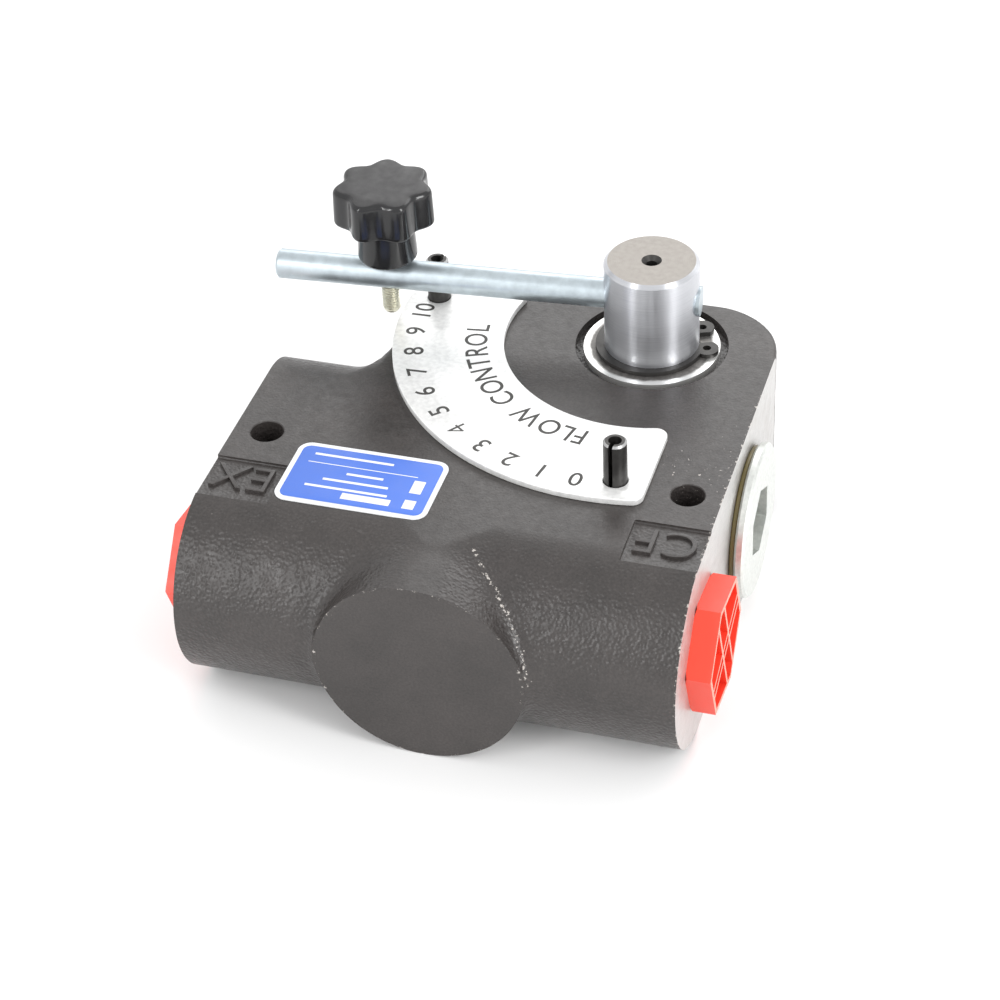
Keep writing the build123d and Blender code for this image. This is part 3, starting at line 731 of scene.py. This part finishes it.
def machining_cutter():
    """Every bore seen from outside: solids that start off the casting and don't touch each other."""
    bm = bmesh.new()
    bore_r = SPINDLE_HIGH.x - SPINDLE.x + FIT
    mouth_r = RECESS_R + RECESS_CHAMFER
    revolve(bm, [(0, -1), (mouth_r, -1), (mouth_r, 0), (RECESS_R, RECESS_CHAMFER),
                 (RECESS_R, BASE_RECESS), (bore_r, BASE_RECESS), (bore_r, HEIGHT - TOP_RECESS),
                 (RECESS_R, HEIGHT - TOP_RECESS), (RECESS_R, HEIGHT + 2), (0, HEIGHT + 2)],
            upright(SPINDLE.x, SPINDLE.y, 0), 160)
    port_r = PORT_THREAD_R + PORT_CHAMFER
    mount_r = MOUNT_HOLE_R + MOUNT_CHAMFER
    for side, end_x in ((-1, EX_PASSAGE_END_X), (1, CF_PASSAGE_END_X)):
        revolve(bm, [(0, -1), (MOUNT_HOLE_R, -1), (MOUNT_HOLE_R, HEIGHT - 0.25),
                     (mount_r, HEIGHT + 0.1), (mount_r, HEIGHT + 2), (0, HEIGHT + 2)],
                upright(side * MOUNT_X, 0, 0), 64)
        passage = HALF_L - side * end_x
        revolve(bm, [(0, -4), (port_r, -4), (port_r, 0), (PORT_THREAD_R, PORT_CHAMFER),
                     (PORT_THREAD_R, PORT_THREAD_DEPTH), (PORT_PASSAGE_R, PORT_THREAD_DEPTH),
                     (PORT_PASSAGE_R, passage), (0, passage)],
                along_x(side * HALF_L, PORT_Y, MID_Z, -side))
    revolve(bm, [(0, -2), (SPOTFACE_R, -2), (SPOTFACE_R, SPOTFACE_DEPTH),
                 (port_r, SPOTFACE_DEPTH), (PORT_THREAD_R, SPOTFACE_DEPTH + PORT_CHAMFER),
                 (PORT_THREAD_R, PORT_THREAD_DEPTH), (0, PORT_THREAD_DEPTH)],
            along_y(0, BACK_Y, MID_Z, -1))
    spool_end = HALF_L - SPOOL_BORE_END_X
    revolve(bm, [(0, -4), (PLUG_THREAD_R, -4), (PLUG_THREAD_R, PLUG_DEPTH),
                 (SPOOL_BORE_R, PLUG_DEPTH), (SPOOL_BORE_R, spool_end), (0, spool_end)],
            along_x(HALF_L, PLUG_Y, MID_Z, -1))
    for node in STOP_PINS:
        middle = mm_middle(node)
        revolve(bm, [(0, HEIGHT - PIN_DEPTH), (PIN_R, HEIGHT - PIN_DEPTH),
                     (PIN_R, HEIGHT + 2), (0, HEIGHT + 2)], upright(middle.x, middle.y, 0), 48)
    return from_bmesh("bores", bm)


def facing_cutter():
    """Flat cuts at both ends and across the boss."""
    bm = bmesh.new()
    add_block(bm, (HALF_L, -60, -20), (HALF_L + 20, 120, HEIGHT + 20))
    add_block(bm, (-HALF_L - 20, -60, -20), (-HALF_L, 120, HEIGHT + 20))
    add_block(bm, (-BOSS_R - 9, BOSS_FACE_Y - 20, -10), (BOSS_R + 9, BOSS_FACE_Y, HEIGHT + 10))
    return from_bmesh("facing", bm)


def is_machined(centre, normal):
    """True of the faces left as bare iron: the ends, the port bores, the lower recess, the spotface.
    The top recess wall and the mounting holes keep the dark paint as painted shade.
    """
    x, y, z = centre
    at_end = abs(normal.x) > 0.99 and abs(x) > HALF_L - 0.05
    off_inlet = math.hypot(x, z - MID_Z)
    in_spotface = normal.y > 0.99 and y > BACK_Y - 0.9 and off_inlet < SPOTFACE_R
    off_spindle = math.hypot(x - SPINDLE.x, y - SPINDLE.y)
    # only the lower recess is bare; the top recess wall keeps the dark paint as painted shade
    in_recess = off_spindle < RECESS_R + 0.02 and z < BASE_RECESS + 1
    in_port = math.hypot(y - PORT_Y, z - MID_Z) < PORT_THREAD_R + 1.5 and abs(x) < HALF_L
    in_inlet = off_inlet < PORT_THREAD_R + 1.5 and y > BACK_Y - 30
    return at_end or in_spotface or in_recess or in_port or in_inlet


def cast_body():
    body = casting_blank()
    cut(body, facing_cutter())
    for side, marks in ((-1, "EX"), (1, "CF")):
        cut(body, port_pocket(side))
        offsets = MARK_AT if side < 0 else reversed(MARK_AT)
        for character, offset in zip(marks, offsets):
            cut(body, mark_letter(character, side * (POCKET_X + offset)), "UNION")
    cut(body, machining_cutter())
    finished(body, cast_paint(), "valve", ["valve_body"], 40)
    another_material(body, bare_iron(), is_machined)


# ---------------------------------------------------------------- dial and label
def outline_plate(name, outlines, thickness, bevel, z):
    """A plate with softened edges from closed flat outlines; later ones are its holes."""
    curve = bpy.data.curves.new(name, "CURVE")
    curve.dimensions = "2D"
    curve.fill_mode = "BOTH"
    curve.extrude = thickness / 2 - bevel
    curve.bevel_depth = bevel
    curve.offset = -bevel
    curve.bevel_resolution = 2
    for outline in outlines:
        spline = curve.splines.new("POLY")
        spline.points.add(len(outline) - 1)
        for point, (x, y) in zip(spline.points, outline):
            point.co = (x, y, 0, 1)
        spline.use_cyclic_u = True
    plate = as_mesh(curve, Matrix.Translation((0, 0, z + thickness / 2)))
    bm = bmesh.new()
    bm.from_mesh(plate.data)
    bmesh.ops.remove_doubles(bm, verts=bm.verts, dist=1e-4)
    bmesh.ops.recalc_face_normals(bm, faces=bm.faces)
    bm.to_mesh(plate.data)
    bm.free()
    return plate


def arc(centre, radius, start, end, steps):
    """Points on an arc; angles in degrees."""
    angles = [math.radians(start + (end - start) * s / steps) for s in range(steps + 1)]
    return [(centre[0] + radius * math.cos(a), centre[1] + radius * math.sin(a)) for a in angles]


def dial_outline():
    """Two arcs about the spindle joined by two straight ends with rounded corners."""
    centre = (SPINDLE.x, SPINDLE.y)
    r = DIAL_CORNER_R
    corners = []
    for radius, side in ((DIAL_OUT_R, -1), (DIAL_IN_R, 1)):
        across = DIAL_END - r
        reach = radius + side * r
        corners.append((across, -math.sqrt(reach ** 2 - across ** 2)))
    outer, inner = corners
    turn_out = math.degrees(math.atan2(outer[1], outer[0]))
    turn_in = math.degrees(math.atan2(inner[1], inner[0]))

    def at(corner, swapped):
        x, y = (corner[1], corner[0]) if swapped else corner
        return centre[0] + x, centre[1] + y

    points = []
    points += arc(at(outer, False), r, turn_out, 0, 10)
    points += arc(at(inner, False), r, 0, 180 + turn_in, 10)
    points += arc(centre, DIAL_IN_R, turn_in, -270 - turn_in, 90)
    points += arc(at(inner, True), r, -90 - turn_in, 90, 10)
    points += arc(at(outer, True), r, 90, 90 - turn_out, 10)
    points += arc(centre, DIAL_OUT_R, -270 - turn_out, turn_out, 140)
    return points


def facing_out(radius, degrees, z):
    """A place on a circle about the spindle whose text has its top pointing outwards."""
    angle = math.radians(degrees)
    up = Vector((math.cos(angle), math.sin(angle), 0))
    right = Vector((up.y, -up.x, 0))
    turn = Matrix((right, up, Vector((0, 0, 1)))).transposed().to_4x4()
    return Matrix.Translation((SPINDLE.x, SPINDLE.y, z)) @ Matrix.Translation(up * radius) @ turn


def printed(text, size, narrow=1.0):
    """Thin flat lettering about its own middle."""
    curve = bpy.data.curves.new("print_" + text, "FONT")
    curve.body = text
    curve.size = size
    curve.align_x = "CENTER"
    curve.align_y = "CENTER"
    curve.extrude = PRINT_HALF_DEPTH
    # the acute corner of a 4 folds over when its outline grows
    curve.offset = -PRINT_WEIGHT if text == "4" else PRINT_WEIGHT
    curve.resolution_u = 6
    return as_mesh(curve, Matrix.Diagonal((narrow, 1, 1, 1)))


def word_letters():
    """Letters spaced by their own widths about the middle of the word's arc."""
    letters = [printed(c, WORD_SIZE, WORD_NARROW) for c in WORD.replace(" ", "")]
    widths = [letter.dimensions.x for letter in letters]
    gaps = [WORD_GAP] * len(letters)
    gaps[WORD.index(" ") - 1] += WORD_SIZE / 3
    length = sum(widths) + sum(gaps) - gaps[-1]
    reach = -length / 2
    for letter, width, gap in zip(letters, widths, gaps):
        degrees = WORD_MIDDLE - math.degrees((reach + width / 2) / WORD_R)
        letter.data.transform(facing_out(WORD_R, degrees, DIAL_TOP))
        reach += width + gap
    return letters


def dial():
    metal = steel("dial_metal", (0.91, 0.91, 0.90), 0.38, line_scale=0.8, line_bump=0.05,
                  metallic=0.35)
    holes = []
    for node in STOP_PINS:
        middle = mm_middle(node)
        holes.append(arc((middle.x, middle.y), PIN_R + 0.1, 0, 352, 44))
    plate = outline_plate("dial_face", [dial_outline()] + holes, DIAL_TOP - HEIGHT, 0.25, HEIGHT)
    finished(plate, metal, "valve", ["dial_plate"])
    ink = plastic("dial_ink", (0.045, 0.043, 0.040), 0.5)
    digits = []
    for number in range(11):
        digit = printed(str(number), DIGIT_SIZE)
        digit.data.transform(facing_out(DIGIT_R, DIGIT_START + DIGIT_STEP * number, DIAL_TOP))
        digits.append(digit)
    finished(joined("dial_numbers", digits), ink, "valve")
    finished(joined("dial_word", word_letters()), ink, "valve")


def rounded_rectangle(low, high, radius):
    left, right = low[0] + radius, high[0] - radius
    front, back = low[1] + radius, high[1] - radius
    points = []
    for turn, corner in enumerate(((right, back), (left, back), (left, front), (right, front))):
        points += arc(corner, radius, 90 * turn, 90 * turn + 90, 8)
    return points


def label():
    """White border, blue field and plain bars where a data plate has its printing."""
    white = plastic("label_white", (0.80, 0.81, 0.82), 0.36)
    blue = plastic("label_blue", (0.065, 0.17, 0.64), 0.36)
    dress("label_plate", white)
    low, high = (LABEL_LOW.x, LABEL_LOW.y), (LABEL_HIGH.x, LABEL_HIGH.y)
    low = [value + LABEL_BORDER for value in low]
    high = [value - LABEL_BORDER for value in high]
    outline = rounded_rectangle(low, high, LABEL_CORNER_R - LABEL_BORDER)
    field = outline_plate("label_field", [outline], LABEL_INK, 0.01, LABEL_HIGH.z)
    finished(field, blue, "valve")
    bars = []
    wide = high[0] - low[0]
    # row, start and length as shares of the width, and height
    for row, start, share, tall in ((0, 0.42, 0.34, 2.3), (1, 0.14, 0.58, 0.8), (2, 0.24, 0.46, 0.8),
                                    (3, 0.38, 0.26, 0.8), (4, 0.08, 0.78, 0.25), (5, 0.10, 0.56, 0.8),
                                    (0, 0.85, 0.08, 3.4), (2, 0.85, 0.08, 5.0)):
        x = low[0] + wide * start
        y = low[1] + LABEL_FIRST_ROW + row * LABEL_ROW
        outline = rounded_rectangle((x, y), (x + wide * share, y + tall), 0.1)
        bars.append(outline_plate("bar", [outline], LABEL_INK, 0.01, LABEL_HIGH.z + LABEL_INK))
    finished(joined("label_bars", bars), white, "valve")


# ---------------------------------------------------------------- clamp knob and stud
def lobed(radius, angle):
    """Soft lobes that fade out towards the middle."""
    share = max(0.0, min(1.0, (radius - LOBES_START_R) / (LOBES_FULL_R - LOBES_START_R)))
    depth = (KNOB_R - KNOB_VALLEY_R) / 2 * share ** 1.5
    return radius - depth + depth * math.cos(KNOB_LOBES * angle)


def clamp_knob():
    gloss = plastic("knob_black", (0.012, 0.012, 0.013), 0.16, grain=0.3, grain_bump=0.03)
    satin = plastic("knob_satin", (0.024, 0.023, 0.024), 0.45, grain=1.4, grain_bump=0.10)
    top = KNOB_HIGH.z - KNOB_LOW.z
    under = top - KNOB_HEAD
    bore_r = (STUD_HIGH.x - STUD_LOW.x) / 2 + FIT
    bore_top = STUD_HIGH.z - KNOB_LOW.z + 0.1
    outline = softened([(0, bore_top), (bore_r, bore_top), (bore_r, 0), (HUB_R, 0),
                        (HUB_NECK_R, under), (KNOB_R, under), (KNOB_R - 0.35, top - 0.45),
                        (9.0, top - 0.12), (0, top)], 1.5, 6)
    bm = bmesh.new()
    revolve(bm, subdivided(outline, 3), upright(STUD.x, STUD.y, KNOB_LOW.z), 196, lobed)
    knob = from_bmesh("knob", bm)
    finished(knob, gloss, "clamp_knob", ["clamp_knob"], 60)
    another_material(knob, satin,
                     lambda centre, normal: normal.z > 0.93 and centre.z > KNOB_HIGH.z - 0.9)


def clamp_stud():
    zinc = steel("stud_zinc", (0.80, 0.78, 0.66), 0.37)
    length = STUD_HIGH.z - STUD_LOW.z
    bm = bmesh.new()
    core = softened([(0, 0), (STUD_ROOT_R - 0.3, 0), (STUD_ROOT_R, 0.7), (STUD_ROOT_R, length),
                     (0, length)], 0.4)
    place = upright(STUD.x, STUD.y, STUD_LOW.z)
    revolve(bm, core, place, 40)
    crest_r = (STUD_HIGH.x - STUD_LOW.x) / 2
    helical_ridge(bm, STUD_ROOT_R, crest_r, STUD_PITCH, length - 0.2, place)
    finished(from_bmesh("stud", bm), zinc, "clamp_stud", ["clamp_stud"], 50)


# ---------------------------------------------------------------- shipping plugs
def shipping_plugs():
    """The CAD heads with painted highlights on their pale rims and ribs, and a moulded thread round
    each shank.
    """
    red = plastic("cap_red", (0.86, 0.062, 0.030), 0.35, grain=0.25, grain_bump=0.1)
    cap_highlight = plastic("cap_rim_highlight", (0.92, 0.26, 0.18), 0.35, grain=0.25, grain_bump=0.1)
    for node in ("ex_port_cap", "cf_port_cap"):
        # painted highlight: the outermost faces of each head get the pale red
        another_material(dress(node, red), cap_highlight,
                         lambda centre, normal: abs(centre.x) > CAP_FACE_X - 0.02)
    another_material(dress("inlet_port_cap", red), cap_highlight,
                     lambda centre, normal: centre.y > INLET_CAP_HIGH.y - 0.02)
    for name, place in (("ex", along_x(-HALF_L, PORT_Y, MID_Z, 1)),
                        ("cf", along_x(HALF_L, PORT_Y, MID_Z, -1)),
                        ("inlet", along_y(0, BACK_Y - SPOTFACE_DEPTH, MID_Z, -1))):
        bm = bmesh.new()
        helical_ridge(bm, CAP_SHANK_R, CAP_CREST_R, CAP_PITCH, CAP_SHANK_L - 1.2,
                      place @ upright(0, 0, 1.0), 64)
        finished(from_bmesh(name + "_cap_thread", bm), red, name + "_cap",
                 sharp_degrees=60)


# ---------------------------------------------------------------- compensator spring
def compensator_spring():
    """Wire wound between the spool and the shim, built at one length; the real spring shortens as the
    spool moves in.
    """
    low, high = mm_box("compensator_spring")
    middle = (low + high) / 2
    radius = (high.z - low.z) / 2 - SPRING_WIRE_R
    length = high.x - low.x - 2 * SPRING_WIRE_R
    free = SPRING_TURNS - 2 * SPRING_SOLID_TURNS
    steps = SPRING_TURNS * SPRING_TURN_STEPS
    bm = bmesh.new()
    rings = []
    for step in range(steps + 1):
        turn = SPRING_TURNS * step / steps
        along = min(max((turn - SPRING_SOLID_TURNS) / free, 0), 1)
        x = low.x + SPRING_WIRE_R + along * length
        angle = 2 * math.pi * turn
        outward = Vector((0, math.cos(angle), math.sin(angle)))
        centre = Vector((x, middle.y, middle.z)) + outward * radius
        ring = []
        for corner in range(SPRING_WIRE_SIDES):
            swing = 2 * math.pi * corner / SPRING_WIRE_SIDES
            side = outward * math.cos(swing) + Vector((1, 0, 0)) * math.sin(swing)
            ring.append(bm.verts.new(centre + side * SPRING_WIRE_R))
        rings.append(ring)
    skin(bm, rings)
    bm.faces.new(rings[0])
    bm.faces.new(rings[-1])
    wire = steel("spring_steel", (0.42, 0.41, 0.40), 0.36)
    spring = finished(from_bmesh("spring_wire", bm), wire, "compensator",
                      ["compensator_spring"], 60)
    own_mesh(spring)


# ---------------------------------------------------------------- carried-over CAD parts
def dress(node, material):
    """Gives a CAD piece one material and returns it."""
    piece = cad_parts[node]
    piece.data.materials.clear()
    piece.data.materials.append(material)
    smooth(piece)
    return piece


def carried_over():
    turned = turned_steel()
    zinc = steel("zinc_rod", (0.54, 0.61, 0.65), 0.36, lines=(0.5, 0.5, 0.5), line_scale=0.8,
                 metallic=0.9)
    bright = washer_steel()
    black = steel("black_steel", (0.060, 0.058, 0.056), 0.36, metallic=0.7)
    # light steel for the stop pins' chamfers, a painted glint
    rim_glint = steel("rim_glint_steel", (0.50, 0.50, 0.50), 0.36)
    plug = steel("plug_zinc", (0.80, 0.82, 0.79), 0.37)
    spool = steel("spool_steel", (0.55, 0.55, 0.56), 0.36)
    rubber = plastic("seal_rubber", (0.02, 0.02, 0.02), 0.6)
    brown = plastic("seal_brown", (0.14, 0.11, 0.035), 0.35)
    looks = {"lever_rod": zinc, "thrust_washer_upper": bright, "thrust_washer_lower": bright,
             "retaining_ring_upper": black, "retaining_ring_lower": black,
             "compensator_plug": plug, "compensator_spool": spool,
             "spring_shim": spool, "spindle_oring_upper": rubber,
             "spindle_oring_lower": rubber, "compensator_plug_seal": brown}
    for node, material in looks.items():
        dress(node, material)
    shaft = dress("spindle", turned)
    another_material(shaft, faced_steel(),
                     lambda centre, normal: normal.z > 0.99 and centre.z > SPINDLE_HIGH.z - 0.05)
    # painted shade: black steel inside the spindle's centre hole
    another_material(shaft, black, lambda centre, normal: centre.z < SPINDLE_HIGH.z - 0.05 and
                     math.hypot(centre.x - SPINDLE.x, centre.y - SPINDLE.y) < SPINDLE_HOLE_R)
    for node in STOP_PINS:
        rim = mm_box(node)[1].z
        # painted glint: each pin's chamfer faces get the light steel
        another_material(dress(node, black), rim_glint,
                         lambda centre, normal: centre.z > rim - 0.6 and 0.3 < normal.z < 0.95)


# ---------------------------------------------------------------- camera and stage
def camera():
    """A long lens, above and to the right of the front, slightly rolled."""
    data = bpy.data.cameras.new("camera")
    data.sensor_width = CAMERA_SENSOR
    data.lens = CAMERA_LENS
    data.clip_start = 0.05
    data.clip_end = 20
    view = link("camera", data)
    turn = Matrix((CAMERA_RIGHT, CAMERA_UP, CAMERA_RIGHT.cross(CAMERA_UP))).transposed().to_4x4()
    view.matrix_world = Matrix.Translation(CAMERA_PLACE) @ turn
    bpy.context.scene.camera = view


def soft_light(name, size, power, place):
    """A rectangular lamp aimed at the valve."""
    data = bpy.data.lights.new(name, "AREA")
    data.shape = "RECTANGLE"
    data.size, data.size_y = size
    data.energy = power
    lamp = link(name, data)
    lamp.location = place
    lamp.rotation_euler = (LIGHT_TARGET - Vector(place)).to_track_quat("-Z", "Y").to_euler()


def stage():
    bm = bmesh.new()
    bmesh.ops.create_grid(bm, x_segments=2, y_segments=2, size=6)
    floor = from_bmesh("floor", bm)
    n = Nodes("floor_white")
    shade = n.noise(n.place(), 0.002, 2.0)
    floor.data.materials.append(n.finish(n.mix(shade, (0.86, 0.86, 0.86), (0.88, 0.88, 0.88)), 0.8))
    world = bpy.data.worlds.new("studio")
    world.use_nodes = True
    background = world.node_tree.nodes["Background"]
    background.inputs["Color"].default_value = (1, 1, 1, 1)
    background.inputs["Strength"].default_value = 1.05
    bpy.context.scene.world = world
    bpy.context.scene.view_settings.view_transform = "Standard"
    soft_light("back", (1.4, 0.7), 6, (0.1, 1.1, 0.75))
    soft_light("left", (0.10, 0.9), 4, (-0.5, -0.85, 0.55))
    soft_light("right", (0.28, 0.9), 8, (0.95, -0.4, 0.55))


camera()
stage()
cast_body()
dial()
label()
clamp_knob()
clamp_stud()
shipping_plugs()
compensator_spring()
carried_over()
